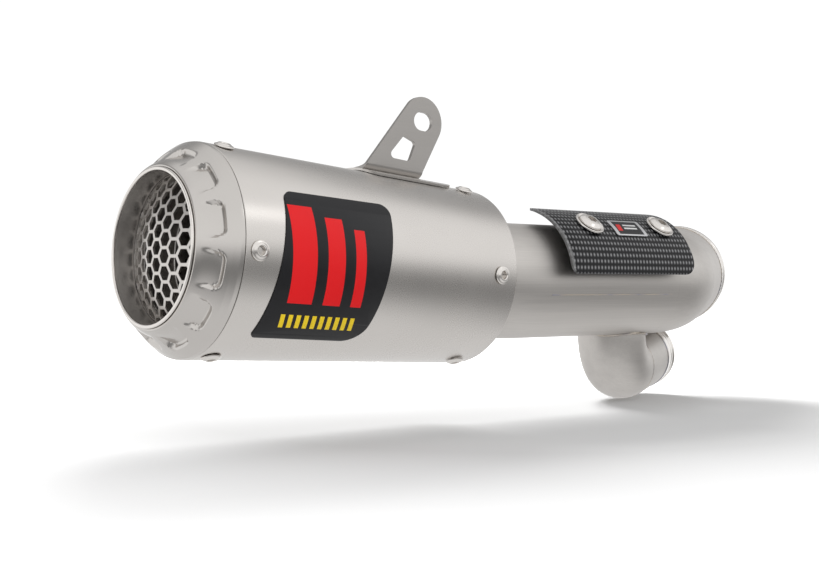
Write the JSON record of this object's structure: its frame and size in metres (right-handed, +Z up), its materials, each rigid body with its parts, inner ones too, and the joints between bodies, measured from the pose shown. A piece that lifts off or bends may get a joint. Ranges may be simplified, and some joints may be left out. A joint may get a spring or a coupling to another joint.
{
  "type": "racing exhaust system",
  "caption": "Short round slip-on silencer with a mesh outlet and rear hanger, on a two-inlet link pipe that carries a curved carbon heat shield.",
  "frame": {"origin": "centre of the main inlet's mouth, where the link pipe slips on the header", "axes": "+X along the straight link pipe from the outlet towards the engine, +Z up with the hanger, +Y towards the side that the inlets turn to"},
  "size_m": [0.4534, 0.125, 0.1723],
  "materials": {
    "satin_titanium": "bead-blasted titanium sheet, satin",
    "cap_titanium": "bead-blasted pressed titanium",
    "throat_titanium": "satin titanium tube, bright rolled lip",
    "bracket_titanium": "ground titanium plate",
    "pipe_titanium": "brushed titanium tube, welded seams",
    "mesh_steel": "satin stainless steel",
    "polished_steel": "polished stainless steel",
    "rivet_steel": "bright stainless blind rivet",
    "carbon": "lacquered twill carbon fibre",
    "decal_film": "black heat-proof film with red and yellow bars",
    "badge_plate": "printed aluminium plate",
    "glass_mat": "glass-fibre packing mat",
    "steel_wool": "stainless steel wool",
    "graphite": "pressed graphite seal"
  },
  "bodies": {
    "link_pipe": {"link_pipe": "pipe_titanium", "inlet_bend": "pipe_titanium", "inlet_stub": "pipe_titanium", "main_inlet_collar": "polished_steel", "branch_elbow": "pipe_titanium", "branch_inlet_collar": "polished_steel", "slip_ferrule": "pipe_titanium", "heat_shield": "carbon", "shield_badge": "badge_plate", "shield_boss_outlet_side": "pipe_titanium", "shield_spacer_outlet_side": "polished_steel", "shield_washer_outlet_side": "polished_steel", "shield_screw_outlet_side": "polished_steel", "shield_boss_inlet_side": "pipe_titanium", "shield_spacer_inlet_side": "polished_steel", "shield_washer_inlet_side": "polished_steel", "shield_screw_inlet_side": "polished_steel"},
    "seal": {"seal_bush": "graphite"},
    "silencer": {"outer_sleeve": "satin_titanium", "outlet_cap": "cap_titanium", "outlet_throat": "throat_titanium", "outlet_mesh": "mesh_steel", "mesh_ring": "mesh_steel", "perforated_core": "mesh_steel", "core_outlet_ring": "cap_titanium", "core_inlet_ring": "cap_titanium", "steel_wool_wrap": "steel_wool", "packing_mat": "glass_mat", "inlet_cap": "cap_titanium", "inlet_socket": "cap_titanium", "hanger_saddle": "satin_titanium", "hanger_bracket": "bracket_titanium", "sleeve_decal": "decal_film", "outlet_rivet_1": "rivet_steel", "outlet_rivet_2": "rivet_steel", "outlet_rivet_3": "rivet_steel", "outlet_rivet_4": "rivet_steel", "outlet_rivet_5": "rivet_steel", "inlet_rivet_1": "rivet_steel", "inlet_rivet_2": "rivet_steel", "inlet_rivet_3": "rivet_steel", "inlet_rivet_4": "rivet_steel", "inlet_rivet_5": "rivet_steel"}
  },
  "joints": [
    {"name": "silencer_slip", "type": "slide", "parent": "link_pipe", "child": "seal", "axis": [-0.9978, 0, 0.0656], "range_m": [0, 0.034]},
    {"name": "silencer_turn", "type": "hinge", "parent": "seal", "child": "silencer", "pos_m": [-0.25711, -0.04406, -0.00254], "axis": [0.9978, 0, -0.0656], "continuous": true}
  ]
}
